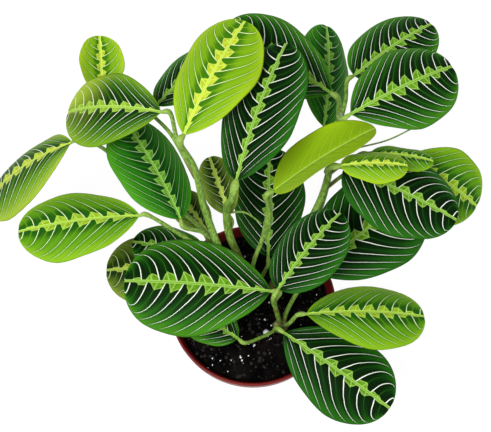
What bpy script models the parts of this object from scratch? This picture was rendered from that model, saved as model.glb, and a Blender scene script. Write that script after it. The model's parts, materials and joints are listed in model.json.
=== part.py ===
"""Potted prayer plant (Maranta leuconeura) in a 108 mm plastic nursery pot.

Lengths are millimetres and angles degrees; they become metres and radians where a shape is made.
The origin is the centre of the pot's underside, +Z is up, and the near side faces -Y.  Leaves and
stems hang on an empty at the centre of the soil's surface, so their heights are above the soil.
"""
import math
from typing import NamedTuple

import bmesh
import bpy
from mathutils import Euler, Matrix, Vector

MM = 0.001
WELD = 0.000001
CLEARANCE = 0.3

# pot: a tapered wall with a thicker, flared lip and a ring of drain holes
RIM_RADIUS = 54.0
RIM_Z = 78.0
LIP_RADIUS = 53.0
LIP_Z = 67.0
WALL_TOP_RADIUS = 51.0
WALL_THICKNESS = 1.6
BASE_RADIUS = 36.0
FLOOR_Z = 2.0
FOOT_ROUND = 1.5
POT_SIDES = 48
DRAIN_COUNT = 6
DRAIN_RADIUS = 4.0
DRAIN_CIRCLE = 24.0
DRAIN_SIDES = 16

# soil: fills the pot to 8 mm below the rim
SOIL_Z = 70.0
SOIL_RADIUS = 49.7

# blades, stems and the crown they rise from
BLADE_THICKNESS = 0.7
BLADE_ROWS = 10
BLADE_COLUMNS = 6
BLADE_STUB = 0.9
TIP_TAPER = 0.5
PETIOLE_LEAD = 6.0
PETIOLE_GAP = 0.6
CROWN_CENTRE = (18.0, -14.0, 3.5)
CROWN_RADII = (5.0, 4.2, 3.2)


class Form(NamedTuple):
    """How a blade bends: along its midrib, across it, and where along its length it is widest."""
    arch: float
    cup: float
    widest: float


FORMS = {
    "even": Form(25, 30, 0.55),
    "oval": Form(30, 30, 0.50),
    "blunt": Form(25, 30, 0.60),
    "hooded": Form(35, 40, 0.60),
    "drooping": Form(55, 20, 0.60),
    "folded": Form(30, 55, 0.55),
    "turned_up": Form(15, -30, 0.50),
}


class Skin(NamedTuple):
    """A surface's colour in linear RGB and its roughness."""
    colour: tuple
    roughness: float


SKINS = {
    "green": Skin((0.020, 0.100, 0.020), 0.45),
    "lime": Skin((0.240, 0.420, 0.030), 0.45),
    "olive": Skin((0.130, 0.160, 0.040), 0.50),
    "stem": Skin((0.250, 0.380, 0.100), 0.50),
    "crown": Skin((0.140, 0.150, 0.050), 0.80),
    "pot": Skin((0.110, 0.014, 0.014), 0.35),
    "soil": Skin((0.008, 0.006, 0.005), 0.95),
}


class Leaf(NamedTuple):
    """A blade: its base, the way its midrib leaves it, its roll about that, its size and form."""
    base: tuple
    heading: float
    pitch: float
    roll: float
    length: float
    width: float
    form: str
    skin: str


LEAVES = {
    1: Leaf((-115, 90, 60), -170, -20, 20, 85, 60, "hooded", "lime"),
    2: Leaf((-97, 125, 65), 90, 30, 20, 35, 30, "turned_up", "lime"),
    3: Leaf((-55, 90, 100), 170, 5, -5, 70, 50, "drooping", "green"),
    4: Leaf((-45, 40, 55), 115, 20, 25, 75, 50, "even", "green"),
    5: Leaf((-70, 40, 60), -175, 10, 10, 75, 50, "blunt", "lime"),
    6: Leaf((10, -5, 50), 175, 10, 0, 90, 65, "blunt", "green"),
    7: Leaf((-32, 20, 20), 180, 5, -5, 65, 50, "even", "olive"),
    8: Leaf((-30, 25, 25), 165, 10, 5, 50, 35, "even", "olive"),
    9: Leaf((-10, -25, 15), 150, 10, -5, 40, 30, "even", "green"),
    10: Leaf((-40, 70, 110), 65, 25, -5, 80, 50, "hooded", "lime"),
    11: Leaf((-60, 107, 78), 50, 8, -10, 60, 35, "even", "green"),
    12: Leaf((47, 110, 88), 150, 20, -15, 80, 52, "hooded", "green"),
    13: Leaf((45, 101, 62), 80, 15, 35, 72, 42, "even", "green"),
    14: Leaf((60, 112, 105), 40, 10, -5, 65, 45, "oval", "green"),
    15: Leaf((55, 78, 120), 27, 15, 5, 70, 55, "hooded", "green"),
    16: Leaf((-10, 46, 100), 75, 20, -20, 90, 50, "even", "green"),
    17: Leaf((12, 48, 80), 32, 25, -40, 70, 45, "turned_up", "lime"),
    18: Leaf((50, 55, 100), 5, 10, -10, 40, 25, "folded", "lime"),
    19: Leaf((55, 65, 75), -25, 10, 0, 75, 55, "oval", "green"),
    20: Leaf((95, 78, 60), -30, 5, 10, 60, 50, "drooping", "lime"),
    21: Leaf((38, 10, 40), 38, 15, 8, 88, 66, "blunt", "green"),
    22: Leaf((15, -5, 55), 55, 25, -20, 60, 45, "oval", "green"),
    23: Leaf((33, -15, 35), 5, 5, -20, 75, 50, "blunt", "lime"),
    24: Leaf((20, -22, 15), -37, 10, 5, 80, 55, "blunt", "green"),
    25: Leaf((10, 30, 15), 90, 20, -5, 75, 50, "even", "green"),
    26: Leaf((-15, 45, 50), 110, 20, -5, 40, 25, "even", "olive"),
    27: Leaf((-30, 45, 20), 125, 15, 5, 35, 25, "even", "olive"),
    28: Leaf((70, 70, 85), 0, 5, -10, 40, 20, "folded", "lime"),
}


class Limb(NamedTuple):
    """A stem or petiole: its points, end radii, the blade it carries and any swelling midway."""
    points: tuple
    start_radius: float
    end_radius: float
    blade: int = 0
    swell: float = 0.0


# each shoot is one living piece: a main stem followed by the petioles that leave it
SHOOTS = {
    "shoot_left": (
        Limb(((-10, 10, 0), (-20, 25, 30), (-30, 45, 60), (-35, 60, 85)), 2.6, 1.6, 10),
        Limb(((-35, 58, 78), (-45, 75, 90)), 1.4, 1.2, 3),
        Limb(((-35, 58, 76), (-50, 85, 80)), 1.3, 1.1, 11),
    ),
    "shoot_middle": (
        Limb(((-5, 25, 0), (-15, 35, 40), (-16, 41, 70), (-13, 38, 90)), 2.6, 1.8, 16),
        Limb(((-14, 35, 36), (-15, 37, 40)), 1.2, 1.0, 26),
        Limb(((-15, 42, 60), (-5, 42, 60), (5, 38, 52)), 0.7, 0.5),
    ),
    "shoot_new": (
        Limb(((0, 10, 0), (0, 20, 25), (5, 30, 40), (10, 40, 60)), 1.4, 1.3, 17),
        Limb(((5, 30, 38), (9, 38, 55), (10, 49, 77)), 0.8, 0.8, 0, 1.7),
    ),
    "shoot_right": (
        Limb(((10, 10, 0), (20, 20, 25), (40, 50, 50), (45, 60, 75), (43, 56, 90)), 2.6, 1.5, 18),
        Limb(((44, 59, 68), (48, 67, 72)), 1.3, 1.1, 19),
        Limb(((43, 56, 62), (60, 70, 60), (80, 80, 58)), 1.3, 1.1, 20),
        Limb(((45, 60, 76), (55, 66, 81)), 1.2, 1.0, 28),
        Limb(((45, 60, 74), (52, 72, 80), (80, 80, 82), (95, 85, 88)), 0.6, 0.45),
    ),
    "shoot_back": (
        Limb(((15, 20, 0), (30, 30, 15), (45, 60, 35), (52, 90, 60), (53, 103, 77)), 1.9, 1.4, 12),
        Limb(((50, 84, 54), (46, 89, 57)), 1.2, 1.0, 13),
        Limb(((52, 92, 62), (56, 103, 88)), 1.3, 1.1, 14),
        Limb(((52, 92, 64), (53, 95, 85), (49, 84, 108)), 1.3, 1.1, 15),
    ),
    "petiole_05": (
        Limb(((-20, 15, 0), (-25, 25, 25), (-45, 33, 45)), 1.6, 1.1, 5),
        Limb(((-21, 18, 8), (-23, 22, 18)), 1.2, 1.0, 8),
    ),
    "petiole_04": (
        Limb(((-15, 25, 0), (-23, 32, 30), (-32, 35, 45)), 1.5, 1.1, 4),
    ),
    "petiole_01": (
        Limb(((-25, 28, 0), (-32, 42, 28), (-55, 58, 42), (-80, 77, 50), (-97, 88, 58)), 1.6, 1.1, 1),
        Limb(((-80, 77, 50), (-93, 98, 56), (-99, 110, 59)), 1.2, 1.0, 2),
    ),
    "petiole_07": (
        Limb(((-27, 6, 0), (-28, 13, 10)), 1.3, 1.1, 7),
    ),
    "petiole_27": (
        Limb(((-15, 32, 0), (-22, 37, 10)), 1.2, 1.0, 27),
    ),
    "petiole_25": (
        Limb(((5, 18, 0), (8, 22, 8)), 1.4, 1.1, 25),
    ),
}
CROWN_LIMBS = (
    Limb(((18, -13, 2), (15, -10, 20), (13, -8, 38)), 1.7, 1.2, 6),
    Limb(((15, -10, 24), (12, -10, 42)), 1.3, 1.1, 22),
    Limb(((20, -11, 2), (22, -6, 12), (28, 2, 26)), 1.5, 1.2, 21),
    Limb(((20, -14, 3), (23, -17, 22)), 1.4, 1.1, 23),
    Limb(((17, -17, 2), (14, -18, 10)), 1.5, 1.2, 24),
    Limb(((16, -16, 2), (6, -22, 6)), 1.2, 1.0, 9),
)


def clear_scene():
    """Remove what Blender starts with."""
    for item in list(bpy.data.objects):
        bpy.data.objects.remove(item, do_unlink=True)


def add_empty(name, height, parent=None):
    """An empty on the pot's axis that pieces are placed from."""
    empty = bpy.data.objects.new(name, None)
    bpy.context.collection.objects.link(empty)
    empty.parent = parent
    empty.location.z = height * MM
    return empty


def add_object(name, bm, parent, place=(0.0, 0.0, 0.0)):
    """Turn a bmesh into an object with its faces pointing out, at a place under its parent."""
    bmesh.ops.remove_doubles(bm, verts=bm.verts, dist=WELD)
    bmesh.ops.recalc_face_normals(bm, faces=bm.faces)
    mesh = bpy.data.meshes.new(name)
    bm.to_mesh(mesh)
    bm.free()
    item = bpy.data.objects.new(name, mesh)
    bpy.context.collection.objects.link(item)
    item.parent = parent
    item.location = Vector(place) * MM
    return item


def dress(item, skin, sharp_angle=180.0):
    """Give a piece its own material and smooth shading, creased only past the sharp angle."""
    material = bpy.data.materials.new(item.name)
    material.use_nodes = True
    shader = material.node_tree.nodes["Principled BSDF"]
    shader.inputs["Base Color"].default_value = (*SKINS[skin].colour, 1.0)
    shader.inputs["Roughness"].default_value = SKINS[skin].roughness
    shader.inputs["Metallic"].default_value = 0.0
    item.data.materials.append(material)
    item.data.shade_smooth()
    item.data.set_sharp_from_angle(angle=math.radians(sharp_angle))


def add_boolean(item, tool, operation):
    """Join or cut with another object, which then only guides the shape."""
    tool.hide_render = True
    tool.display_type = "WIRE"
    step = item.modifiers.new(tool.name, "BOOLEAN")
    step.operation = operation
    step.solver = "EXACT"
    step.object = tool


def turned(profile, sides):
    """Spin a profile of (radius, height) about the pot's axis."""
    bm = bmesh.new()
    verts = [bm.verts.new((radius * MM, 0.0, height * MM)) for radius, height in profile]
    edges = [bm.edges.new(pair) for pair in zip(verts, verts[1:])]
    bmesh.ops.spin(bm, geom=verts + edges, cent=(0.0, 0.0, 0.0), axis=(0.0, 0.0, 1.0),
                   dvec=(0.0, 0.0, 0.0), angle=2.0 * math.pi, steps=sides, use_merge=True)
    return bm


def make_pot(stand):
    """The moulded pot: floor, tapered wall, flared lip and drainage holes."""
    inner_lip = RIM_RADIUS - WALL_THICKNESS
    profile = (
        (0.0, 0.0),
        (BASE_RADIUS - FOOT_ROUND, 0.0),
        (BASE_RADIUS, FOOT_ROUND),
        (WALL_TOP_RADIUS, LIP_Z - 0.6),
        (LIP_RADIUS - 0.5, LIP_Z - 0.6),
        (LIP_RADIUS, LIP_Z),
        (RIM_RADIUS - 0.1, RIM_Z - 1.2),
        (RIM_RADIUS, RIM_Z - 0.6),
        (RIM_RADIUS - 0.5, RIM_Z),
        (inner_lip + 0.3, RIM_Z),
        (inner_lip, RIM_Z - 0.5),
        (SOIL_RADIUS + CLEARANCE, SOIL_Z),
        (WALL_TOP_RADIUS - WALL_THICKNESS, LIP_Z - 2.0),
        (BASE_RADIUS - WALL_THICKNESS, FLOOR_Z),
        (0.0, FLOOR_Z),
    )
    pot = add_object("pot", turned(profile, POT_SIDES), stand)
    drills = bmesh.new()
    for k in range(DRAIN_COUNT):
        angle = 2.0 * math.pi * (k / DRAIN_COUNT + 0.5 / POT_SIDES)
        centre = Vector((DRAIN_CIRCLE * math.cos(angle), DRAIN_CIRCLE * math.sin(angle), 1.0)) * MM
        bmesh.ops.create_cone(drills, cap_ends=True, segments=DRAIN_SIDES, radius1=DRAIN_RADIUS * MM,
                              radius2=DRAIN_RADIUS * MM, depth=2.0 * FLOOR_Z * MM,
                              matrix=Matrix.Translation(centre))
    add_boolean(pot, add_object("drain_drills", drills, stand), "DIFFERENCE")
    dress(pot, "pot", 35.0)


def make_soil(stand):
    """The potting mix, clear of the pot by a hair all round."""
    inset = WALL_THICKNESS + 2.0 * CLEARANCE
    profile = (
        (0.0, FLOOR_Z + CLEARANCE),
        (BASE_RADIUS - inset, FLOOR_Z + CLEARANCE),
        (WALL_TOP_RADIUS - inset, LIP_Z - 2.0),
        (SOIL_RADIUS - CLEARANCE, SOIL_Z),
        (0.0, SOIL_Z),
    )
    dress(add_object("soil", turned(profile, POT_SIDES), stand), "soil", 35.0)


def blade_rotation(leaf):
    """A blade's rotation: roll about its midrib, then pitch, then heading."""
    return Euler((math.radians(leaf.roll), -math.radians(leaf.pitch), math.radians(leaf.heading)))


def blade_direction(leaf):
    """The way a blade's midrib leaves its base."""
    return blade_rotation(leaf).to_matrix() @ Vector((1.0, 0.0, 0.0))


def on_blade(leaf, s, t):
    """Point of a blade: s runs from base to tip, t from one margin to the other."""
    form = FORMS[leaf.form]
    half = 0.5 * leaf.width
    rise = TIP_TAPER * form.widest / (1.0 - form.widest)
    peak = form.widest ** rise * (1.0 - form.widest) ** TIP_TAPER
    reach = max(half * s ** rise * (1.0 - s) ** TIP_TAPER / peak, BLADE_STUB)
    arch = math.radians(form.arch)
    cup = math.radians(form.cup)
    bend = cup * t * reach / half
    drop = -half * (1.0 - math.cos(bend)) / cup
    along = leaf.length * math.sin(arch * s) / arch + drop * math.sin(arch * s)
    height = -leaf.length * (1.0 - math.cos(arch * s)) / arch + drop * math.cos(arch * s)
    return Vector((along, half * math.sin(bend) / cup, height))


def make_blade(number, leaf, clump):
    """A thin sheet bent to the blade's form."""
    bm = bmesh.new()
    bmesh.ops.create_grid(bm, x_segments=BLADE_ROWS, y_segments=BLADE_COLUMNS, size=0.5)
    for vert in bm.verts:
        vert.co = on_blade(leaf, vert.co.x + 0.5, 2.0 * vert.co.y) * MM
    blade = add_object(f"blade_{number:02d}", bm, clump, leaf.base)
    blade.rotation_euler = blade_rotation(leaf)
    sheet = blade.modifiers.new("thickness", "SOLIDIFY")
    sheet.thickness = BLADE_THICKNESS * MM
    sheet.offset = 0.0
    dress(blade, leaf.skin, 60.0)


def smooth_path(points, steps=3):
    """A Catmull-Rom curve through the points."""
    pts = [Vector(point) for point in points]
    pts = [2.0 * pts[0] - pts[1]] + pts + [2.0 * pts[-1] - pts[-2]]
    path = []
    for a, b, c, d in zip(pts, pts[1:], pts[2:], pts[3:]):
        for step in range(steps):
            u = step / steps
            path.append(0.5 * (2.0 * b + (c - a) * u + (2.0 * a - 5.0 * b + 4.0 * c - d) * u * u
                               + (3.0 * b - a - 3.0 * c + d) * u ** 3))
    path.append(pts[-2])
    return path


def limb_path(limb):
    """The limb's path, led into the base of its blade when it has one."""
    points = list(limb.points)
    if limb.blade:
        leaf = LEAVES[limb.blade]
        way = blade_direction(leaf)
        points.append(Vector(leaf.base) - PETIOLE_LEAD * way)
        points.append(Vector(leaf.base) - PETIOLE_GAP * way)
    return smooth_path(points)


def limb_mesh(limb):
    """A tapered tube with closed ends along the limb's path."""
    path = limb_path(limb)
    curve = bpy.data.curves.new("limb", "CURVE")
    curve.dimensions = "3D"
    curve.bevel_depth = MM
    curve.bevel_resolution = 1
    curve.use_fill_caps = True
    spline = curve.splines.new("POLY")
    spline.points.add(len(path) - 1)
    for k, point in enumerate(spline.points):
        blend = k / (len(path) - 1.0)
        radius = limb.start_radius * (1.0 - blend) + limb.end_radius * blend
        point.co = (*(path[k] * MM), 1.0)
        point.radius = radius + limb.swell * math.sin(math.pi * blend)
    guide = bpy.data.objects.new("limb", curve)
    bpy.context.collection.objects.link(guide)
    mesh = bpy.data.meshes.new_from_object(guide.evaluated_get(bpy.context.evaluated_depsgraph_get()))
    bpy.data.objects.remove(guide, do_unlink=True)
    bm = bmesh.new()
    bm.from_mesh(mesh)
    return bm


def cut_at_soil(bm):
    """End a stem flat, a hair above the soil."""
    geometry = bm.verts[:] + bm.edges[:] + bm.faces[:]
    cut = bmesh.ops.bisect_plane(bm, geom=geometry, dist=WELD, plane_co=(0.0, 0.0, CLEARANCE * MM),
                                 plane_no=(0.0, 0.0, -1.0), clear_outer=True)
    edges = [item for item in cut["geom_cut"] if isinstance(item, bmesh.types.BMEdge)]
    bmesh.ops.edgeloop_fill(bm, edges=edges)


def sink_start(limb):
    """The same limb, started below the soil's surface."""
    first = Vector(limb.points[0])
    below = first - 0.15 * (Vector(limb.points[1]) - first)
    return limb._replace(points=(below, *limb.points[1:]))


def move_to(bm, place):
    """Measure a mesh from a place, so that its object can stand there."""
    bmesh.ops.translate(bm, verts=bm.verts, vec=-Vector(place) * MM)
    return bm


def add_branches(name, whole, limbs, clump, root):
    """Join petioles to the stem or crown they leave."""
    for k, limb in enumerate(limbs):
        branch = add_object(f"{name}_limb_{k + 1}", move_to(limb_mesh(limb), root), clump, root)
        add_boolean(whole, branch, "UNION")
    dress(whole, "stem", 50.0)


def make_shoot(name, limbs, clump):
    """A main stem cut flat at the soil, joined with the petioles that leave it."""
    root = limbs[0].points[0]
    bm = limb_mesh(sink_start(limbs[0]))
    bmesh.ops.remove_doubles(bm, verts=bm.verts, dist=WELD)
    cut_at_soil(bm)
    stem = add_object(name, move_to(bm, root), clump, root)
    add_branches(name, stem, limbs[1:], clump, root)


def make_crown(clump):
    """The knob of rhizome at the soil's surface, with the front petioles."""
    bm = bmesh.new()
    bmesh.ops.create_uvsphere(bm, u_segments=16, v_segments=8, radius=MM,
                              matrix=Matrix.Diagonal((*CROWN_RADII, 1.0)))
    crown = add_object("crown", bm, clump, CROWN_CENTRE)
    add_branches("crown", crown, CROWN_LIMBS, clump, CROWN_CENTRE)


def main():
    clear_scene()
    stand = add_empty("stand", 0.0)
    clump = add_empty("clump", SOIL_Z, stand)
    make_pot(stand)
    make_soil(stand)
    make_crown(clump)
    for name, limbs in SHOOTS.items():
        make_shoot(name, limbs, clump)
    for number, leaf in LEAVES.items():
        make_blade(number, leaf, clump)


main()
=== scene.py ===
"""Looks of the potted prayer plant: fine leaves, stems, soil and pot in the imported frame."""
import json
import math
import random
from typing import NamedTuple

import bpy
import numpy as np
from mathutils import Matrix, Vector


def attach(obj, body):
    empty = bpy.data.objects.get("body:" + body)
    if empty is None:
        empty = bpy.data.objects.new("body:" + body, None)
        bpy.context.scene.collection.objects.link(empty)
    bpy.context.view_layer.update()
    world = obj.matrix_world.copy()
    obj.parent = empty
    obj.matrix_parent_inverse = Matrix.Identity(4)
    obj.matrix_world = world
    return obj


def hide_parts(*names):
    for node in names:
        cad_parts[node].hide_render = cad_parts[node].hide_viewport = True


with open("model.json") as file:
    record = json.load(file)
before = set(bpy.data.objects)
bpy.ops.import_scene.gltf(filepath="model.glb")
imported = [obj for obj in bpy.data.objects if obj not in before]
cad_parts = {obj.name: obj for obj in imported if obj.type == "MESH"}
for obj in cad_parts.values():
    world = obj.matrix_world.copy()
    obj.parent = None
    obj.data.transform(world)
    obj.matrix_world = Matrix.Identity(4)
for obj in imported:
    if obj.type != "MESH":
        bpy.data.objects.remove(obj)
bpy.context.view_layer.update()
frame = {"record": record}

MM = 0.001
TURN = 2.0 * math.pi

# pot and soil, in millimetres as all lengths here
RIM_RADIUS = 54.0
RIM_ROLL = 0.95
RIM_Z = 78.0
LIP_Z = 67.0
COLLAR = ((1.8, -0.6), (1.2, -0.35), (1.0, 0.2), (0.65, 4.0))
WALL_TOP_RADIUS = 51.0
BASE_RADIUS = 36.0
FLOOR_Z = 2.0
DRAIN_HOLES = 6
DRAIN_RING = 24.0
DRAIN_RADIUS = 4.0
DRAIN_TURN = 0.5 / 48
POT_SIDES = 160
SOIL_Z = 70.0
SOIL_UP = np.array((0.0, 0.0, SOIL_Z))
SOIL_RADIUS = 49.7
SOIL_SIDES = 180
SOIL_RINGS = 90
SOIL_WAVES = 60
CLEARANCE = 0.3

# blades
PETIOLE_LEAD = 6.0
BLADE_STUB = 0.9
WIDEST_TAPER = 0.5
BLADE_ROWS = 110
BLADE_COLUMNS = 44
BLADE_HALF_THICKNESS = 0.16
RIB_DEPTH = 0.45
RIB_WIDTH = 0.9
GROOVE_DEPTH = 0.5
GROOVE_WIDTH = 1.3
PILLOW = 0.42
EDGE_UNEVEN = 0.018
EDGE_WAVE = 0.7
VEIN_LEAN = 0.18
VEIN_CURVE = 0.30
SIDE_SHIFT = 0.35

# stems
STEM_SIDES = 16
STEM_RIDGE = 0.03
KNUCKLE_SWELL = 0.35
KNUCKLE_FROM_BLADE = 4.0
KNUCKLE_LENGTH = 2.2
KNUCKLE_TINT_LENGTH = 6.0

# larger perlite grains that lie in the open front of the pot: x, y and size
PERLITE_PLACES = ((9, -18, 2.4), (1, -26, 0.9), (8, -9, 0.8), (12, -13, 0.7), (-7, -36, 0.8),
                  (-3, -33, 0.7), (-21, -36, 0.7), (-26, -39, 0.6), (-29, -41, 0.6))

# camera and lamps, in metres and watts
CAMERA_TARGET = (-0.00483, 0.0608, 0.078)
CAMERA_DISTANCE = 0.6
CAMERA_ELEVATION = 68.0
CAMERA_LENS = 65.2
LAMP_TARGET = (0.0, 0.04, 0.12)
LAMPS = (("key", (-0.45, -0.35, 1.1), 0.5, 11.0), ("fill", (0.7, -0.5, 0.9), 0.8, 3.5))
WORLD_LIGHT = 0.50


class Form(NamedTuple):
    """How a blade bends: along its midrib, across it, and where along its length it is widest."""
    arch: float
    cup: float
    widest: float


FORMS = {
    "even": Form(25, 30, 0.55),
    "oval": Form(30, 30, 0.50),
    "blunt": Form(25, 30, 0.60),
    "hooded": Form(35, 40, 0.60),
    "drooping": Form(55, 20, 0.60),
    "folded": Form(30, 55, 0.55),
    "turned_up": Form(15, -30, 0.50),
}


class Leaf(NamedTuple):
    """A blade as in the construction, with its colouring and its number of main veins a side."""
    base: tuple
    heading: float
    pitch: float
    roll: float
    length: float
    width: float
    form: str
    tone: str
    veins: int


LEAVES = {
    1: Leaf((-115, 90, 60), -170, -20, 20, 85, 60, "hooded", "gold", 8),
    2: Leaf((-97, 125, 65), 90, 30, 20, 35, 30, "turned_up", "lime", 5),
    3: Leaf((-55, 90, 100), 170, 5, -5, 70, 50, "drooping", "tipped", 8),
    4: Leaf((-45, 40, 55), 115, 20, 25, 75, 50, "even", "green", 9),
    5: Leaf((-70, 40, 60), -175, 10, 10, 75, 50, "blunt", "fresh", 7),
    6: Leaf((10, -5, 50), 175, 10, 0, 90, 65, "blunt", "deep", 8),
    7: Leaf((-32, 20, 20), 180, 5, -5, 65, 50, "even", "olive", 7),
    8: Leaf((-30, 25, 25), 165, 10, 5, 50, 35, "even", "deep", 6),
    9: Leaf((-10, -25, 15), 150, 10, -5, 40, 30, "even", "deep", 6),
    10: Leaf((-40, 70, 110), 65, 25, -5, 80, 50, "hooded", "lime", 8),
    11: Leaf((-60, 107, 78), 50, 8, -10, 60, 35, "even", "deep", 7),
    12: Leaf((47, 110, 88), 150, 20, -15, 80, 52, "hooded", "deep", 8),
    13: Leaf((45, 101, 62), 80, 15, 35, 72, 42, "even", "green", 8),
    14: Leaf((60, 112, 105), 40, 10, -5, 65, 45, "oval", "deep", 8),
    15: Leaf((55, 78, 120), 27, 15, 5, 70, 55, "hooded", "deep", 8),
    16: Leaf((-10, 46, 100), 75, 20, -20, 90, 50, "even", "night", 9),
    17: Leaf((12, 48, 80), 32, 25, -40, 70, 45, "turned_up", "new", 10),
    18: Leaf((50, 55, 100), 5, 10, -10, 40, 25, "folded", "lime", 6),
    19: Leaf((55, 65, 75), -25, 10, 0, 75, 55, "oval", "night", 8),
    20: Leaf((95, 78, 60), -30, 5, 10, 60, 50, "drooping", "fresh", 7),
    21: Leaf((38, 10, 40), 38, 15, 8, 88, 66, "blunt", "night", 8),
    22: Leaf((15, -5, 55), 55, 25, -20, 60, 45, "oval", "night", 8),
    23: Leaf((33, -15, 35), 5, 5, -20, 75, 50, "blunt", "fresh", 8),
    24: Leaf((20, -22, 15), -37, 10, 5, 80, 55, "blunt", "night", 7),
    25: Leaf((10, 30, 15), 90, 20, -5, 75, 50, "even", "night", 8),
    26: Leaf((-15, 45, 50), 110, 20, -5, 40, 25, "even", "olive", 6),
    27: Leaf((-30, 45, 20), 125, 15, 5, 35, 25, "even", "olive", 6),
    28: Leaf((70, 70, 85), 0, 5, -10, 40, 20, "folded", "fresh", 6),
}


class Limb(NamedTuple):
    """A stem or petiole: its points, end radii, the blade it carries and any swelling midway."""
    points: tuple
    start_radius: float
    end_radius: float
    blade: int = 0
    swell: float = 0.0


SHOOTS = {
    "shoot_left": (
        Limb(((-10, 10, 0), (-20, 25, 30), (-30, 45, 60), (-35, 60, 85)), 2.6, 1.6, 10),
        Limb(((-35, 58, 78), (-45, 75, 90)), 1.4, 1.2, 3),
        Limb(((-35, 58, 76), (-50, 85, 80)), 1.3, 1.1, 11),
    ),
    "shoot_middle": (
        Limb(((-5, 25, 0), (-15, 35, 40), (-16, 41, 70), (-13, 38, 90)), 2.6, 1.8, 16),
        Limb(((-14, 35, 36), (-15, 37, 40)), 1.2, 1.0, 26),
        Limb(((-15, 42, 60), (-5, 42, 60), (5, 38, 52)), 0.7, 0.5),
    ),
    "shoot_new": (
        Limb(((0, 10, 0), (0, 20, 25), (5, 30, 40), (10, 40, 60)), 1.4, 1.3, 17),
        Limb(((5, 30, 38), (9, 38, 55), (10, 49, 77)), 0.8, 0.8, 0, 1.7),
    ),
    "shoot_right": (
        Limb(((10, 10, 0), (20, 20, 25), (40, 50, 50), (45, 60, 75), (43, 56, 90)), 2.6, 1.5, 18),
        Limb(((44, 59, 68), (48, 67, 72)), 1.3, 1.1, 19),
        Limb(((43, 56, 62), (60, 70, 60), (80, 80, 58)), 1.3, 1.1, 20),
        Limb(((45, 60, 76), (55, 66, 81)), 1.2, 1.0, 28),
        Limb(((45, 60, 74), (52, 72, 80), (80, 80, 82), (95, 85, 88)), 0.6, 0.45),
    ),
    "shoot_back": (
        Limb(((15, 20, 0), (30, 30, 15), (45, 60, 35), (52, 90, 60), (53, 103, 77)), 1.9, 1.4, 12),
        Limb(((50, 84, 54), (46, 89, 57)), 1.2, 1.0, 13),
        Limb(((52, 92, 62), (56, 103, 88)), 1.3, 1.1, 14),
        Limb(((52, 92, 64), (53, 95, 85), (49, 84, 108)), 1.3, 1.1, 15),
    ),
    "petiole_05": (
        Limb(((-20, 15, 0), (-25, 25, 25), (-45, 33, 45)), 1.6, 1.1, 5),
        Limb(((-21, 18, 8), (-23, 22, 18)), 1.2, 1.0, 8),
    ),
    "petiole_04": (
        Limb(((-15, 25, 0), (-23, 32, 30), (-32, 35, 45)), 1.5, 1.1, 4),
    ),
    "petiole_01": (
        Limb(((-25, 28, 0), (-32, 42, 28), (-55, 58, 42), (-80, 77, 50), (-97, 88, 58)), 1.6, 1.1, 1),
        Limb(((-80, 77, 50), (-93, 98, 56), (-99, 110, 59)), 1.2, 1.0, 2),
    ),
    "petiole_07": (
        Limb(((-27, 6, 0), (-28, 13, 10)), 1.3, 1.1, 7),
    ),
    "petiole_27": (
        Limb(((-15, 32, 0), (-22, 37, 10)), 1.2, 1.0, 27),
    ),
    "petiole_25": (
        Limb(((5, 18, 0), (8, 22, 8)), 1.4, 1.1, 25),
    ),
}
CROWN_LIMBS = (
    Limb(((18, -13, 2), (15, -10, 20), (13, -8, 38)), 1.7, 1.2, 6),
    Limb(((15, -10, 24), (12, -10, 42)), 1.3, 1.1, 22),
    Limb(((20, -11, 2), (22, -6, 12), (28, 2, 26)), 1.5, 1.2, 21),
    Limb(((20, -14, 3), (23, -17, 22)), 1.4, 1.1, 23),
    Limb(((17, -17, 2), (14, -18, 10)), 1.5, 1.2, 24),
    Limb(((16, -16, 2), (6, -22, 6)), 1.2, 1.0, 9),
)
CROWN_CENTRE = (18.0, -14.0, 3.5)
CROWN_RADII = (5.0, 4.2, 3.2)


class Tone(NamedTuple):
    """Colours of a leaf from the midrib outwards, and how far its dark band and lobes reach."""
    lobe: tuple
    dark: tuple
    middle: tuple
    margin: tuple
    vein: tuple
    dark_reach: float
    lobe_reach: float
    vein_width: float


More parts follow.
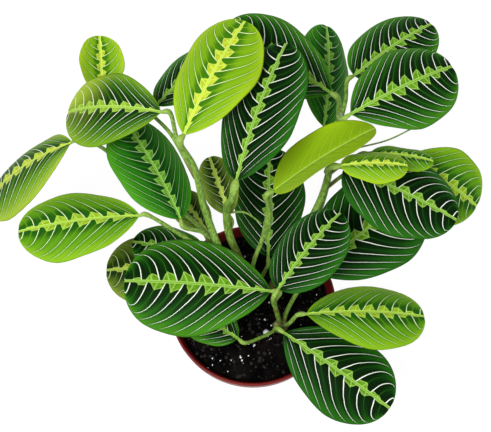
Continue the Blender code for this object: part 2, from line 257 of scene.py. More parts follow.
TIP_COLOUR = (0.34, 0.48, 0.03)
TONES = {
    "deep": Tone((0.12, 0.30, 0.010), (0.0025, 0.014, 0.0020), (0.004, 0.060, 0.003),
                 (0.050, 0.21, 0.008), (0.90, 0.94, 0.82), 0.60, 0.20, 1.0),
    "night": Tone((0.12, 0.29, 0.012), (0.0018, 0.010, 0.0016), (0.003, 0.038, 0.003),
                  (0.018, 0.12, 0.006), (0.90, 0.94, 0.82), 0.70, 0.15, 1.0),
    "green": Tone((0.12, 0.34, 0.025), (0.0050, 0.055, 0.0050), (0.014, 0.14, 0.006),
                  (0.060, 0.28, 0.010), (0.48, 0.68, 0.30), 0.45, 0.19, 0.8),
    "fresh": Tone((0.30, 0.48, 0.020), (0.012, 0.09, 0.004), (0.080, 0.25, 0.006),
                  (0.22, 0.43, 0.010), (0.74, 0.86, 0.46), 0.40, 0.20, 0.9),
    "lime": Tone((0.50, 0.60, 0.030), (0.040, 0.16, 0.004), (0.17, 0.36, 0.008),
                 (0.33, 0.52, 0.012), (0.76, 0.86, 0.40), 0.36, 0.20, 0.9),
    "gold": Tone((0.46, 0.56, 0.040), (0.012, 0.070, 0.006), (0.10, 0.26, 0.009),
                 (0.32, 0.46, 0.035), (0.84, 0.88, 0.60), 0.50, 0.17, 1.0),
    "tipped": Tone((0.24, 0.42, 0.025), (0.0045, 0.030, 0.0035), (0.020, 0.11, 0.006),
                   (0.16, 0.33, 0.012), (0.84, 0.88, 0.66), 0.50, 0.17, 1.0),
    "olive": Tone((0.32, 0.38, 0.035), (0.012, 0.030, 0.006), (0.065, 0.12, 0.010),
                  (0.19, 0.27, 0.026), (0.60, 0.64, 0.32), 0.45, 0.17, 0.9),
    "new": Tone((0.28, 0.46, 0.008), (0.25, 0.43, 0.006), (0.26, 0.45, 0.005),
                (0.33, 0.52, 0.008), (0.44, 0.62, 0.070), 0.35, 0.04, 0.7),
}


# ---------------------------------------------------------------- geometry
def mesh_piece(name, points, faces):
    """Make one smooth object from points in millimetres."""
    mesh = bpy.data.meshes.new(name)
    mesh.from_pydata((np.asarray(points, dtype=float) * MM).tolist(), [], faces)
    mesh.validate()
    mesh.polygons.foreach_set("use_smooth", [True] * len(mesh.polygons))
    item = bpy.data.objects.new(name, mesh)
    bpy.context.collection.objects.link(item)
    return item


def store(item, values):
    """Keep numbers on a piece's points, for its material to read."""
    for key, data in values.items():
        layer = item.data.attributes.new(key, "FLOAT", "POINT")
        layer.data.foreach_set("value", np.asarray(data, dtype=np.float32))


def finish_piece(item, slot, material, *nodes):
    """Give a piece its material, its body and the CAD nodes it stands for."""
    item.data.materials.append(material)
    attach(item, "root")
    if nodes:
        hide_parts(*nodes)


def grid_faces(rows, columns, start=0, flip=False):
    """Quads of a grid whose first point has the index start."""
    faces = []
    for i in range(rows - 1):
        for j in range(columns - 1):
            a = start + i * columns + j
            b = a + columns
            quad = (a, b, b + 1, a + 1)
            faces.append(quad[::-1] if flip else quad)
    return faces


def ring_faces(low, high, sides, flip=False):
    """Quads between two rings of points, given the index at which each ring starts."""
    faces = []
    for k in range(sides):
        j = (k + 1) % sides
        if flip:
            faces.append((low + k, high + k, high + j, low + j))
        else:
            faces.append((low + k, low + j, high + j, high + k))
    return faces


def ring_points(radius, z, sides):
    """Points of a level circle around the pot's axis."""
    return [(radius * math.cos(TURN * k / sides), radius * math.sin(TURN * k / sides), z)
            for k in range(sides)]


def direction(leaf):
    """Unit vector along a blade's midrib at its base."""
    heading = math.radians(leaf.heading)
    pitch = math.radians(leaf.pitch)
    return np.array((math.cos(pitch) * math.cos(heading),
                     math.cos(pitch) * math.sin(heading), math.sin(pitch)))


def turn(leaf):
    """Rotation matrix of a blade: roll about its midrib, then pitch, then heading."""
    h, p, r = (math.radians(v) for v in (leaf.heading, leaf.pitch, leaf.roll))
    roll = np.array(((1, 0, 0), (0, math.cos(r), -math.sin(r)), (0, math.sin(r), math.cos(r))))
    pitch = np.array(((math.cos(p), 0, -math.sin(p)), (0, 1, 0), (math.sin(p), 0, math.cos(p))))
    head = np.array(((math.cos(h), -math.sin(h), 0), (math.sin(h), math.cos(h), 0), (0, 0, 1)))
    return head @ pitch @ roll


def half_width(leaf, s, t):
    """Distance from midrib to margin, a little uneven along the leaf."""
    widest = FORMS[leaf.form].widest
    rise = WIDEST_TAPER * widest / (1.0 - widest)
    peak = widest ** rise * (1.0 - widest) ** WIDEST_TAPER
    reach = 0.5 * leaf.width * s ** rise * (1.0 - s) ** WIDEST_TAPER / peak
    reach = reach * (1.0 + EDGE_UNEVEN * np.sin(13.0 * s + 2.3 * leaf.length + 2.0 * np.sign(t)))
    return np.maximum(reach, BLADE_STUB * (1.0 - s) + 0.05)


def vein_phase(leaf, s, t):
    """Number of main veins passed from the base, counted where they leave the midrib."""
    u = np.abs(t)
    run = u * (VEIN_LEAN + VEIN_CURVE * u)
    ahead = s - run
    start = 2.0 * ahead / (1.0 + np.sqrt(np.maximum(1.0 - 4.0 * run * ahead, 0.0)))
    return start * leaf.veins + np.where(t > 0, SIDE_SHIFT, 0.0)


def blade_points(number, leaf, s, t):
    """A blade's middle surface, swollen between its veins, and its half width at each point."""
    half = 0.5 * leaf.width
    reach = half_width(leaf, s, t)
    arch = math.radians(FORMS[leaf.form].arch)
    cup = math.radians(FORMS[leaf.form].cup)
    bend = cup * np.abs(t) * reach / half
    across = np.sign(t) * np.abs(half * np.sin(bend) / cup)
    drop = -half * (1.0 - np.cos(bend)) / cup
    along = leaf.length * np.sin(arch * s) / arch
    height = -leaf.length * (1.0 - np.cos(arch * s)) / arch
    q = vein_phase(leaf, s, t) % 1.0
    pillow = PILLOW * (np.sin(math.pi * q) ** 0.6) * np.minimum(1.0, 5.0 * np.abs(t))
    pillow = pillow * (1.0 - 0.6 * np.abs(t)) * np.minimum(1.0, 8.0 * (1.0 - s))
    groove = -GROOVE_DEPTH * np.exp(-(np.abs(t) * reach / GROOVE_WIDTH) ** 2)
    wave = EDGE_WAVE * np.abs(t) ** 4 * np.sin(11.0 * s + number * 1.7 + np.sign(t))
    lift = drop + pillow + groove + wave * np.minimum(1.0, 4.0 * (1.0 - s))
    return np.stack((along + lift * np.sin(arch * s), across,
                     height + lift * np.cos(arch * s)), -1), reach


def lay_out(item, s, t, count):
    """Lay the upper face in the lower half of the map and the underside above it."""
    layout = item.data.uv_layers.new(name="OFBake")
    corner = np.empty(len(item.data.loops), dtype=np.int64)
    item.data.loops.foreach_get("vertex_index", corner)
    flat = corner % count
    u = 0.01 + 0.98 * s[flat]
    v = 0.01 + 0.48 * (0.5 + 0.5 * t[flat]) + 0.5 * (corner >= count)
    layout.data.foreach_set("uv", np.stack([u, v], -1).ravel().astype(np.float32))


def make_leaf(number, leaf):
    """A thin closed blade with pillowed tissue between its veins."""
    ease = np.linspace(0.0, 1.0, BLADE_ROWS)
    s = 0.6 * ease + 0.4 * 0.5 * (1.0 - np.cos(math.pi * ease))
    t = np.linspace(-1.0, 1.0, BLADE_COLUMNS + 1)
    s_grid, t_grid = np.meshgrid(s, t, indexing="ij")
    middle, reach = blade_points(number, leaf, s_grid, t_grid)
    normal = np.cross(np.gradient(middle, axis=0), np.gradient(middle, axis=1))
    normal /= np.linalg.norm(normal, axis=2, keepdims=True) + 1e-12
    rib = RIB_DEPTH * np.exp(-(np.abs(t_grid) * reach / RIB_WIDTH) ** 2) * (1.0 - 0.75 * s_grid)
    upper = middle + BLADE_HALF_THICKNESS * normal
    under = middle - (BLADE_HALF_THICKNESS + rib)[..., None] * normal
    points = np.concatenate([upper.reshape(-1, 3), under.reshape(-1, 3)])
    points = points @ turn(leaf).T + np.array(leaf.base, dtype=float) + SOIL_UP
    wide = BLADE_COLUMNS + 1
    count = BLADE_ROWS * wide
    faces = grid_faces(BLADE_ROWS, wide)
    faces += grid_faces(BLADE_ROWS, wide, count, True)
    edge = list(range(wide))
    edge += [i * wide + wide - 1 for i in range(1, BLADE_ROWS)]
    edge += [count - 1 - j for j in range(1, wide)]
    edge += [i * wide for i in range(BLADE_ROWS - 2, 0, -1)]
    for a, b in zip(edge, edge[1:] + edge[:1]):
        faces.append((a, b, count + b, count + a))
    item = mesh_piece(f"leaf_{number:02d}", points, faces)
    store(item, {
        "along": np.tile(s_grid.ravel(), 2),
        "across": np.tile(t_grid.ravel(), 2),
        "reach_mm": np.tile((np.abs(t_grid) * reach).ravel(), 2),
        "under": np.concatenate([np.zeros(count), np.ones(count)]),
    })
    lay_out(item, s_grid.ravel(), t_grid.ravel(), count)
    return item


def smooth_path(points, steps=8):
    """A Catmull-Rom curve through the points."""
    pts = [np.array(p, dtype=float) for p in points]
    pts = [2.0 * pts[0] - pts[1]] + pts + [2.0 * pts[-1] - pts[-2]]
    path = []
    for k in range(1, len(pts) - 2):
        a, b, c, d = pts[k - 1:k + 3]
        for step in range(steps):
            u = step / steps
            path.append(0.5 * (2.0 * b + (c - a) * u + (2.0 * a - 5.0 * b + 4.0 * c - d) * u * u
                               + (3.0 * b - a - 3.0 * c + d) * u ** 3))
    path.append(pts[-2])
    return np.array(path)


def tube(path, radii):
    """Points and faces of a closed tube, its skin lightly ridged."""
    tangent = np.gradient(path, axis=0)
    tangent /= np.linalg.norm(tangent, axis=1, keepdims=True)
    side = np.cross(tangent[0], (0.0, 1.0, 0.2))
    points = []
    for k, centre in enumerate(path):
        side = side - tangent[k] * side.dot(tangent[k])
        side /= np.linalg.norm(side)
        other = np.cross(tangent[k], side)
        for n in range(STEM_SIDES):
            angle = TURN * n / STEM_SIDES
            radius = radii[k] * (1.0 + STEM_RIDGE * math.cos(5.0 * angle))
            points.append(centre + radius * (math.cos(angle) * side + math.sin(angle) * other))
    last = (len(path) - 1) * STEM_SIDES
    faces = [tuple(range(STEM_SIDES))[::-1]]
    for low in range(0, last, STEM_SIDES):
        faces += ring_faces(low, low + STEM_SIDES, STEM_SIDES)
    faces.append(tuple(range(last, last + STEM_SIDES)))
    return points, faces


def limb_shape(limb, grounded):
    """A stem that tapers, with a knuckle where it meets its blade."""
    points = list(limb.points)
    if limb.blade:
        leaf = LEAVES[limb.blade]
        base = np.array(leaf.base, dtype=float)
        way = direction(leaf)
        points += [tuple(base - PETIOLE_LEAD * way), tuple(base - 0.1 * way)]
    path = smooth_path(points) + SOIL_UP
    if grounded:
        path[0, 2] = SOIL_Z - 1.0
    blend = np.linspace(0.0, 1.0, len(path))
    radii = limb.start_radius * (1.0 - blend) + limb.end_radius * blend
    radii = radii + limb.swell * np.sin(math.pi * blend)
    if limb.blade:
        left = np.linalg.norm(path - path[-1], axis=1)
        bulge = np.exp(-((left - KNUCKLE_FROM_BLADE) / KNUCKLE_LENGTH) ** 2)
        radii = radii * (1.0 + KNUCKLE_SWELL * bulge)
        radii = radii * np.where(left < 2.0, 0.78 + 0.11 * left, 1.0)
    return tube(path, radii)


def make_shoot(name, limbs, material):
    """All limbs of one shoot as one piece, with how far up each limb a point lies."""
    points, faces, climb, knuckle = [], [], [], []
    for k, limb in enumerate(limbs):
        more, sides = limb_shape(limb, k == 0 and name != "crown")
        start = len(points)
        points += list(more)
        faces += [tuple(start + v for v in face) for face in sides]
        centres = np.array(more).reshape(-1, STEM_SIDES, 3).mean(axis=1)
        for ring, centre in enumerate(centres):
            climb += [ring / (len(centres) - 1.0)] * STEM_SIDES
            left = np.linalg.norm(centres[-1] - centre)
            tint = math.exp(-(left / KNUCKLE_TINT_LENGTH) ** 2) if limb.blade else 0.0
            knuckle += [tint] * STEM_SIDES
    item = mesh_piece("fine_" + name, points, faces)
    store(item, {"climb": climb, "knuckle": knuckle})
    finish_piece(item, "crown" if name == "crown" else "stem", material, name)


def lathe(name, profile, sides):
    """Revolve a profile of (radius, z), whose points may lie on the axis."""
    points, rings = [], []
    for radius, z in profile:
        if radius == 0.0:
            rings.append([len(points)])
            points.append((0.0, 0.0, z))
            continue
        rings.append(list(range(len(points), len(points) + sides)))
        points += ring_points(radius, z, sides)
    faces = []
    for low, high in zip(rings, rings[1:]):
        for k in range(sides):
            j = (k + 1) % sides
            if len(low) == 1:
                faces.append((low[0], high[j], high[k]))
            elif len(high) == 1:
                faces.append((low[k], low[j], high[0]))
            else:
                faces.append((low[k], low[j], high[j], high[k]))
    return mesh_piece(name, points, faces)


def drill_drains(pot):
    """Cut the ring of drain holes through the pot's floor."""
    for k in range(DRAIN_HOLES):
        angle = TURN * (k / DRAIN_HOLES + DRAIN_TURN)
        drill = lathe("drill", ((0.0, -1.0), (DRAIN_RADIUS, -1.0), (DRAIN_RADIUS, FLOOR_Z + 1.0),
                                (0.0, FLOOR_Z + 1.0)), 32)
        drill.location = (DRAIN_RING * math.cos(angle) * MM, DRAIN_RING * math.sin(angle) * MM, 0.0)
        step = pot.modifiers.new("drain", "BOOLEAN")
        step.operation = "DIFFERENCE"
        step.object = drill
        bpy.context.view_layer.update()
        graph = bpy.context.evaluated_depsgraph_get()
        mesh = bpy.data.meshes.new_from_object(pot.evaluated_get(graph))
        pot.modifiers.clear()
        pot.data = mesh
        bpy.data.objects.remove(drill, do_unlink=True)


def make_pot(material):
    """The moulded pot with a rolled, flared lip and a floor with drain holes."""
    profile = [(0.0, 0.0), (DRAIN_RING, 0.0), (BASE_RADIUS - 1.6, 0.0), (BASE_RADIUS - 0.7, 0.25),
               (BASE_RADIUS - 0.1, 0.9), (BASE_RADIUS + 0.15, 1.8)]
    for k in range(1, 9):
        part = k / 8.0
        profile.append((BASE_RADIUS + 0.15 + (WALL_TOP_RADIUS - BASE_RADIUS - 0.3) * part,
                        1.8 + (LIP_Z - 2.8) * part))
    profile.append((WALL_TOP_RADIUS + 0.1, LIP_Z - 0.6))
    profile += [(RIM_RADIUS - inset, LIP_Z + rise) for inset, rise in COLLAR]
    profile.append((RIM_RADIUS - 0.25, RIM_Z - 2.6))
    for k in range(0, 9):
        angle = math.pi * k / 8.0
        profile.append((RIM_RADIUS + RIM_ROLL * (math.cos(angle) - 1.0),
                        RIM_Z + RIM_ROLL * (math.sin(angle) - 1.0)))
    profile += [(RIM_RADIUS - 2.4, RIM_Z - 3.0), (RIM_RADIUS - 4.0, SOIL_Z),
                (RIM_RADIUS - 4.6, LIP_Z - 2.0), (BASE_RADIUS - 1.6, FLOOR_Z), (0.0, FLOOR_Z)]
    pot = lathe("fine_pot", profile, POT_SIDES)
    drill_drains(pot)
    pot.data.polygons.foreach_set("use_smooth", [True] * len(pot.data.polygons))
    pot.data.set_sharp_from_angle(angle=math.radians(35.0))
    finish_piece(pot, "pot", material, "pot")


def make_soil(material):
    """Crumbly soil: a bumpy skin over a plain block."""
    rng = random.Random(11)
    waves = [(rng.uniform(0.08, 0.9), rng.uniform(0, TURN), rng.uniform(0, 6.3),
              rng.uniform(0.12, 0.5)) for _ in range(SOIL_WAVES)]
    points = []
    for i in range(SOIL_RINGS + 1):
        radius = (SOIL_RADIUS - CLEARANCE) * i / SOIL_RINGS
        fade = min(1.0, (SOIL_RADIUS - radius) / 3.0)
        for x, y, _ in ring_points(radius, 0.0, SOIL_SIDES):
            z = 0.0
            for freq, way, start, amount in waves:
                across = x * math.cos(way) + y * math.sin(way)
                z += amount * 0.32 * math.sin(freq * 2.2 * across + start)
            points.append((x, y, SOIL_Z - 0.35 + 0.75 * z * fade))
    faces = []
    for ring in range(SOIL_RINGS):
        faces += ring_faces(ring * SOIL_SIDES, (ring + 1) * SOIL_SIDES, SOIL_SIDES, flip=True)
    start = SOIL_RINGS * SOIL_SIDES
    for radius, z in ((WALL_TOP_RADIUS - 2.4, LIP_Z - 2.0), (BASE_RADIUS - 2.4, FLOOR_Z + CLEARANCE)):
        ring = len(points)
        points += ring_points(radius, z, SOIL_SIDES)
        faces += ring_faces(start, ring, SOIL_SIDES, flip=True)
        start = ring
    faces.append(tuple(start + k for k in range(SOIL_SIDES))[::-1])
    soil = mesh_piece("fine_soil", points, faces)
    finish_piece(soil, "soil", material, "soil")


def scatter_grains(name, count, low, high, seed, material, places=()):
    """Irregular twenty-sided grains sitting in the soil's surface, the placed ones first."""
    rng = random.Random(seed)
    points, faces = [], []
    gold = (1.0 + 5.0 ** 0.5) / 2.0
    corners = np.array([(-1, gold, 0), (1, gold, 0), (-1, -gold, 0), (1, -gold, 0), (0, -1, gold),
                        (0, 1, gold), (0, -1, -gold), (0, 1, -gold), (gold, 0, -1), (gold, 0, 1),
                        (-gold, 0, -1), (-gold, 0, 1)]) / math.sqrt(1.0 + gold * gold)
    sides = ((0, 11, 5), (0, 5, 1), (0, 1, 7), (0, 7, 10), (0, 10, 11), (1, 5, 9), (5, 11, 4),
             (11, 10, 2), (10, 7, 6), (7, 1, 8), (3, 9, 4), (3, 4, 2), (3, 2, 6), (3, 6, 8),
             (3, 8, 9), (4, 9, 5), (2, 4, 11), (6, 2, 10), (8, 6, 7), (9, 8, 1))
    for n in range(count):
        if n < len(places):
            x, y, size = places[n]
        else:
            radius = 48.0 * math.sqrt(rng.random())
            angle = rng.uniform(0.0, TURN)
            x, y = radius * math.cos(angle), radius * math.sin(angle)
            size = low + (high - low) * rng.random() ** 3
        start = len(points)
        spin = rng.uniform(0, 6.3)
        for c in corners:
            stretch = 1.0 + rng.uniform(-0.28, 0.28)
            px = c[0] * math.cos(spin) - c[1] * math.sin(spin)
            py = c[0] * math.sin(spin) + c[1] * math.cos(spin)
            points.append((x + size * px * stretch, y + size * py * stretch,
                           SOIL_Z + 0.1 + size * 0.7 * c[2] * stretch))
        faces += [tuple(start + v for v in side) for side in sides]
    finish_piece(mesh_piece(name, points, faces), "soil", material)


def make_crown_knob(material):
    """Fibrous knob of rhizome at the soil's surface."""
    rings, sides = 24, 36
    points = []
    for i in range(rings + 1):
        tilt = math.pi * (i / rings - 0.5)
        for k in range(sides):
            angle = TURN * k / sides
            rough = 1.0 + 0.07 * math.sin(7 * angle + 3 * tilt) + 0.05 * math.sin(13 * tilt + 2 * angle)
            way = (math.cos(tilt) * math.cos(angle), math.cos(tilt) * math.sin(angle), math.sin(tilt))
            points.append(tuple(CROWN_CENTRE[a] + SOIL_UP[a] + CROWN_RADII[a] * rough * way[a]
                                for a in range(3)))
    faces = []
    for ring in range(rings):
        faces += ring_faces(ring * sides, (ring + 1) * sides, sides)
    finish_piece(mesh_piece("crown_knob", points, faces), "crown", material)


# ---------------------------------------------------------------- materials
class Graph:
    """Small helper that adds shader nodes and returns their sockets."""

    def __init__(self, name):
        self.material = bpy.data.materials.new(name)
        self.material.use_nodes = True
        self.tree = self.material.node_tree
        self.tree.nodes.clear()
        self.out = self.tree.nodes.new("ShaderNodeOutputMaterial")

    def node(self, kind, **inputs):
        """Add a node and set or link its named inputs."""
        node = self.tree.nodes.new(kind)
        for key, value in inputs.items():
            self.put(node.inputs[key], value)
        return node

    def put(self, socket, value):
        """Link a socket to an input, or write a plain value into it."""
        if isinstance(value, bpy.types.NodeSocket):
            self.tree.links.new(value, socket)
        elif isinstance(value, tuple) and len(value) == 3 and socket.type == "RGBA":
            socket.default_value = (*value, 1.0)
        else:
            socket.default_value = value

    def math(self, kind, *values, clamp=False):
        node = self.tree.nodes.new("ShaderNodeMath")
        node.operation = kind
        node.use_clamp = clamp
        for socket, value in zip(node.inputs, values):
            self.put(socket, value)
        return node.outputs[0]

    def add(self, a, b):
        return self.math("ADD", a, b)

    def sub(self, a, b):
        return self.math("SUBTRACT", a, b)

    def mul(self, a, b):
        return self.math("MULTIPLY", a, b)

    def smooth(self, value, low, high, to_low=0.0, to_high=1.0):
        """Smooth step of a value from low to high, where low may be the larger of the two."""
        node = self.tree.nodes.new("ShaderNodeMapRange")
        node.interpolation_type = "SMOOTHSTEP"
        for key, item in (("Value", value), ("From Min", low), ("From Max", high),
                          ("To Min", to_low), ("To Max", to_high)):
            self.put(node.inputs[key], item)
        return node.outputs["Result"]

    def mix(self, factor, a, b):
        node = self.tree.nodes.new("ShaderNodeMix")
        node.data_type = "RGBA"
        self.put(node.inputs["Factor"], factor)
        colours = [socket for socket in node.inputs if socket.type == "RGBA"]
        self.put(colours[0], a)
        self.put(colours[1], b)
        return next(socket for socket in node.outputs if socket.type == "RGBA")

    def attribute(self, name):
        node = self.tree.nodes.new("ShaderNodeAttribute")
        node.attribute_name = name
        return node.outputs["Fac"]

    def noise(self, scale, detail=2.0, vector=None):
        node = self.tree.nodes.new("ShaderNodeTexNoise")
        node.inputs["Scale"].default_value = scale
        node.inputs["Detail"].default_value = detail
        if vector is None:
            vector = self.node("ShaderNodeTexCoord").outputs["Object"]
        self.put(node.inputs["Vector"], vector)
        return node.outputs["Fac"]

    def surface(self, colour, roughness, height=None, strength=0.3, distance=0.0004, **more):
        """Finish the material with one shader, bumped by height where it is given."""
        shader = self.tree.nodes.new("ShaderNodeBsdfPrincipled")
        self.put(shader.inputs["Base Color"], colour)
        self.put(shader.inputs["Roughness"], roughness)
        for key, value in more.items():
            self.put(shader.inputs[key.replace("_", " ")], value)
        if height is not None:
            bump = self.tree.nodes.new("ShaderNodeBump")
            bump.inputs["Strength"].default_value = strength
            bump.inputs["Distance"].default_value = distance
            self.put(bump.inputs["Height"], height)
            self.put(shader.inputs["Normal"], bump.outputs["Normal"])
        self.tree.links.new(shader.outputs[0], self.out.inputs["Surface"])
        return self.material


class Spot(NamedTuple):
    """Sockets that say where a point lies on its leaf."""
    s: object
    t: object
    u: object
    wobble: object
    phase: object
    q: object
    edge: object
    streak: object


def leaf_spot(g, number, leaf):
    """The sums of vein_phase as nodes, a little unsteady, and fine streaks along the veins."""
    s = g.attribute("along")
    t = g.attribute("across")
    u = g.math("ABSOLUTE", t)
    wobble = g.sub(g.noise(55.0 + number), 0.5)
    run = g.mul(u, g.math("MULTIPLY_ADD", u, VEIN_CURVE, VEIN_LEAN))
    ahead = g.sub(s, run)
    root = g.math("SQRT", g.math("MAXIMUM", g.sub(1.0, g.mul(g.mul(run, ahead), 4.0)), 0.0))
    start = g.math("DIVIDE", g.mul(ahead, 2.0), g.add(root, 1.0))
    side = g.mul(g.math("GREATER_THAN", t, 0.0), SIDE_SHIFT)
    phase = g.add(g.mul(start, float(leaf.veins)), side)
    phase = g.add(phase, g.mul(wobble, 0.18))
    q = g.math("FRACT", phase)
    edge = g.math("MINIMUM", q, g.sub(1.0, q))
    streak = g.math("PINGPONG", g.math("FRACT", g.mul(phase, 5.0)), 0.5)
    streak = g.mul(g.sub(streak, 0.25), 0.5)
    return Spot(s, t, u, wobble, phase, q, edge, streak)


def leaf_bands(g, spot, leaf, tone):
    """Greens from the midrib to the margin, darkest beside the veins."""
    u = spot.u
    band = g.add(u, g.mul(spot.wobble, 0.25))
    band = g.add(band, g.mul(spot.streak, g.smooth(u, 0.2, 0.7)))
    reach = tone.dark_reach
    colour = g.mix(g.smooth(band, reach * 0.62, reach * 1.25), tone.dark, tone.middle)
    colour = g.mix(g.smooth(band, 0.62, 1.02), colour, tone.margin)
    between = g.mul(g.smooth(spot.edge, 0.16, 0.46), g.smooth(u, 0.10, 0.45))
    between = g.add(between, g.mul(spot.streak, 1.2))
    lighter = g.mix(g.smooth(band, 0.35, 0.95), tone.middle, tone.margin)
    colour = g.mix(g.math("MULTIPLY", between, 0.45, clamp=True), colour, lighter)
    beside = g.mul(g.smooth(spot.edge, 0.16, 0.04), g.smooth(u, 1.0, 0.75))
    colour = g.mix(g.mul(beside, 0.55), colour, tone.dark)
    if leaf.tone == "tipped":
        tip = g.mul(g.smooth(spot.s, 0.45, 0.95), g.smooth(spot.t, 0.3, -0.5, 0.25, 1.0))
        colour = g.mix(tip, colour, TIP_COLOUR)
    return colour


def leaf_lobes(g, spot, tone, pale_lobe, colour):
    """Herringbone lobes along the midrib, each with a pale edge, a pale spine and a faint twig."""
    tooth = g.math("MINIMUM", g.math("MULTIPLY_ADD", spot.q, 0.95, 0.60),
                   g.math("MULTIPLY_ADD", spot.q, -2.3, 1.95), clamp=True)
    ragged = g.mul(g.sub(g.noise(260.0), 0.5), 0.09)
    taper = g.smooth(spot.s, 1.0, 0.70, 0.35, 1.0)
    reach = g.mul(g.add(0.02, g.mul(tooth, tone.lobe_reach)), taper)
    within = g.sub(reach, g.add(spot.u, ragged))
    inside = g.smooth(within, -0.010, 0.010)
    off_spine = g.math("ABSOLUTE", g.sub(spot.q, 0.44))
    outline = g.math("MAXIMUM", g.smooth(within, 0.042, 0.008), g.smooth(off_spine, 0.060, 0.020))
    mottle = g.mul(g.smooth(g.noise(420.0, 3.0), 0.40, 0.62), 0.6)
    lobe = g.mix(mottle, tone.lobe, tuple(0.55 * v for v in tone.lobe))
    lobe = g.mix(g.mul(outline, 0.75), lobe, pale_lobe)
    colour = g.mix(inside, colour, lobe)
    twig = g.mul(g.smooth(off_spine, 0.045, 0.010), g.smooth(spot.u, 0.75, tone.lobe_reach))
    twig = g.mul(twig, g.sub(1.0, inside))
    return g.mix(g.mul(twig, 0.55), colour, tone.margin)


def main_veins(g, spot, tone):
    """How much a point lies on a main vein, which thins towards the margin."""
    thin = g.smooth(spot.u, 0.2, 1.0, 1.0, 0.5)
    wide = g.mul(thin, 0.020 * tone.vein_width)
    line = g.smooth(spot.edge, g.add(wide, 0.020), wide)
    line = g.mul(line, g.smooth(spot.u, 0.99, 0.82))
    line = g.mul(line, g.smooth(spot.phase, -2.6, -0.6))
    line = g.mul(line, g.smooth(spot.s, 0.02, 0.08))
    return g.mul(line, g.smooth(spot.u, 0.0, 0.16, 0.5, 1.0))


def leaf_material(number, leaf):
    """Banded greens, herringbone lobes and curved cream veins of one leaf."""
    tone = TONES[leaf.tone]
    pale_lobe = tuple(0.62 * v + c for v, c in zip(tone.lobe, (0.24, 0.36, 0.09)))
    underside = tuple(0.5 * v + c for v, c in zip(tone.margin, (0.06, 0.10, 0.05)))
    g = Graph(f"leaf_{number:02d}")
    spot = leaf_spot(g, number, leaf)
    colour = leaf_bands(g, spot, leaf, tone)
    colour = leaf_lobes(g, spot, tone, pale_lobe, colour)
    line = main_veins(g, spot, tone)
    colour = g.mix(line, colour, tone.vein)
    # the midrib is paler at its two edges than along its middle
    mm = g.attribute("reach_mm")
    colour = g.mix(g.smooth(mm, 1.05, 0.70), colour, pale_lobe)
    colour = g.mix(g.mul(g.smooth(mm, 0.50, 0.25), 0.7), colour, tone.lobe)
    rim = g.mul(g.smooth(spot.u, 0.975, 0.995), 0.5)
    colour = g.mix(rim, colour, tuple(0.4 * v for v in tone.margin))
    colour = g.mix(g.mul(g.attribute("under"), 0.85), colour, underside)
    height = g.sub(g.mul(spot.streak, 0.5), g.mul(line, 0.4))
    height = g.add(height, g.mul(g.noise(900.0), 0.25))
    return g.surface(colour, 0.5, height, 0.3, 0.0003, Specular_IOR_Level=0.07,
                     Specular_Tint=(0.45, 0.9, 0.4, 1.0))


def stem_material():
    """Pale green skin, streaked along its length, yellower at the knuckles."""
    g = Graph("stem_skin")
    place = g.node("ShaderNodeMapping", Scale=(1.0, 1.0, 0.18))
    g.put(place.inputs["Vector"], g.node("ShaderNodeTexCoord").outputs["Object"])
    streak = g.noise(900.0, 3.0, place.outputs["Vector"])
    colour = g.mix(g.smooth(streak, 0.35, 0.65), (0.10, 0.20, 0.020), (0.24, 0.42, 0.060))
    climb = g.attribute("climb")
    colour = g.mix(g.smooth(climb, 0.22, 0.0), colour, (0.16, 0.11, 0.04))
    colour = g.mix(g.mul(g.attribute("knuckle"), 0.7), colour, (0.30, 0.46, 0.070))
    return g.surface(colour, 0.45, streak, 0.35, 0.0003, Specular_IOR_Level=0.4)


def crown_material():
    """Fibrous brown-green rhizome."""
    g = Graph("crown_skin")
    grain = g.noise(600.0, 4.0)
    colour = g.mix(g.smooth(grain, 0.35, 0.7), (0.06, 0.06, 0.018), (0.26, 0.28, 0.08))
    return g.surface(colour, 0.8, grain, 0.7, 0.0006)


def pot_material():
    """Dark red-brown moulded plastic, faintly scuffed, with a soft shine."""
    g = Graph("pot_plastic")
    grain = g.noise(1400.0, 2.0)
    cloud = g.noise(25.0, 3.0)
    colour = g.mix(g.smooth(cloud, 0.3, 0.7), (0.120, 0.008, 0.009), (0.170, 0.014, 0.012))
    return g.surface(colour, g.smooth(cloud, 0.2, 0.8, 0.30, 0.42), grain, 0.10, 0.0002,
                     Specular_IOR_Level=0.15)


def soil_material():
    """Damp, nearly black peat mix."""
    g = Graph("soil_mix")
    crumb = g.noise(380.0, 8.0)
    cloud = g.noise(90.0, 4.0)
    colour = g.mix(g.smooth(cloud, 0.35, 0.7), (0.0008, 0.0007, 0.0009), (0.0060, 0.0045, 0.0040))
    return g.surface(colour, 0.95, crumb, 1.0, 0.0016, Specular_IOR_Level=0.04)


def grain_material(name, low, high):
    """Matt grains, clouded between two colours."""
    g = Graph(name)
    cloud = g.noise(700.0, 4.0)
    return g.surface(g.mix(cloud, low, high), 0.85, cloud, 0.5, 0.0003)


# ---------------------------------------------------------------- stage
def floor_material():
    """White to the camera and in reflections, with a little plain grey that takes the shadow."""
    g = Graph("floor_white")
    path = g.node("ShaderNodeLightPath")
    seen = g.math("MAXIMUM", path.outputs["Is Camera Ray"], path.outputs["Is Glossy Ray"])
    seen = g.math("MAXIMUM", seen, path.outputs["Is Transmission Ray"])
    glow = g.node("ShaderNodeEmission", Color=(1.0, 1.0, 1.0), Strength=1.08)
    plain = g.node("ShaderNodeBsdfDiffuse", Color=(0.82, 0.82, 0.82))
    both = g.node("ShaderNodeMixShader")
    g.put(both.inputs[0], g.mul(seen, 0.86))
    g.put(both.inputs[1], plain.outputs[0])
    g.put(both.inputs[2], glow.outputs[0])
    g.tree.links.new(both.outputs[0], g.out.inputs["Surface"])
    return g.material


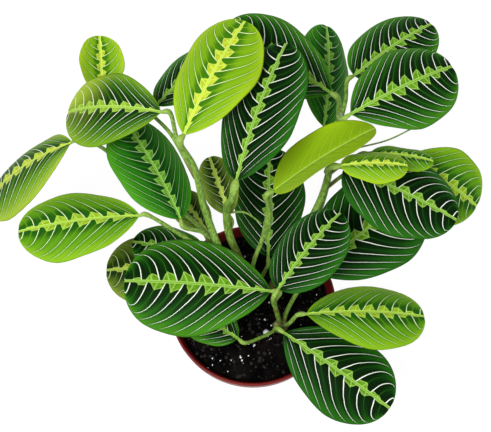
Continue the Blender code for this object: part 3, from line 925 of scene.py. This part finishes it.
def make_world():
    """Even light from all round, seen as white."""
    world = bpy.data.worlds.new("studio")
    bpy.context.scene.world = world
    world.use_nodes = True
    tree = world.node_tree
    background = tree.nodes["Background"]
    background.inputs["Color"].default_value = (1.0, 1.0, 1.0, 1.0)
    path = tree.nodes.new("ShaderNodeLightPath")
    level = tree.nodes.new("ShaderNodeMapRange")
    level.inputs["To Min"].default_value = WORLD_LIGHT
    level.inputs["To Max"].default_value = 1.0
    tree.links.new(path.outputs["Is Camera Ray"], level.inputs["Value"])
    tree.links.new(level.outputs["Result"], background.inputs["Strength"])


def aim(item, target):
    """Turn a lamp or camera towards a point."""
    way = Vector(target) - Vector(item.location)
    item.rotation_euler = way.to_track_quat("-Z", "Y").to_euler()


def make_stage():
    """White floor, soft light and the camera."""
    bpy.ops.mesh.primitive_plane_add(size=6.0, location=(0.0, 0.0, -0.0002))
    floor = bpy.context.object
    floor.name = "floor"
    floor.data.materials.append(floor_material())
    make_world()
    for name, place, size, power in LAMPS:
        lamp = bpy.data.lights.new(name, "AREA")
        lamp.energy = power
        lamp.size = size
        item = bpy.data.objects.new(name, lamp)
        item.location = place
        aim(item, LAMP_TARGET)
        bpy.context.collection.objects.link(item)
    view = bpy.data.cameras.new("camera")
    view.lens = CAMERA_LENS
    view.sensor_width = 36.0
    camera = bpy.data.objects.new("camera", view)
    tilt = math.radians(CAMERA_ELEVATION)
    x, y, z = CAMERA_TARGET
    camera.location = (x, y - CAMERA_DISTANCE * math.cos(tilt), z + CAMERA_DISTANCE * math.sin(tilt))
    aim(camera, CAMERA_TARGET)
    bpy.context.collection.objects.link(camera)
    bpy.context.scene.camera = camera
    bpy.context.scene.view_settings.view_transform = "Standard"


def main():
    """Stage first, then every piece from the pot up."""
    make_stage()
    stem = stem_material()
    crown = crown_material()
    make_pot(pot_material())
    make_soil(soil_material())
    perlite = grain_material("perlite", (0.66, 0.68, 0.72), (0.86, 0.87, 0.88))
    bark = grain_material("bark", (0.0015, 0.0012, 0.001), (0.012, 0.008, 0.005))
    scatter_grains("perlite_grains", 90, 0.25, 0.9, 5, perlite, PERLITE_PLACES)
    scatter_grains("bark_grains", 700, 0.4, 1.5, 6, bark)
    make_crown_knob(crown)
    make_shoot("crown", CROWN_LIMBS, stem)
    for name, limbs in SHOOTS.items():
        make_shoot(name, limbs, stem)
    slots = {part["node"]: part["material_slot"] for part in frame["record"]["subparts"]}
    for number, leaf in LEAVES.items():
        node = f"blade_{number:02d}"
        finish_piece(make_leaf(number, leaf), slots[node], leaf_material(number, leaf), node)


main()
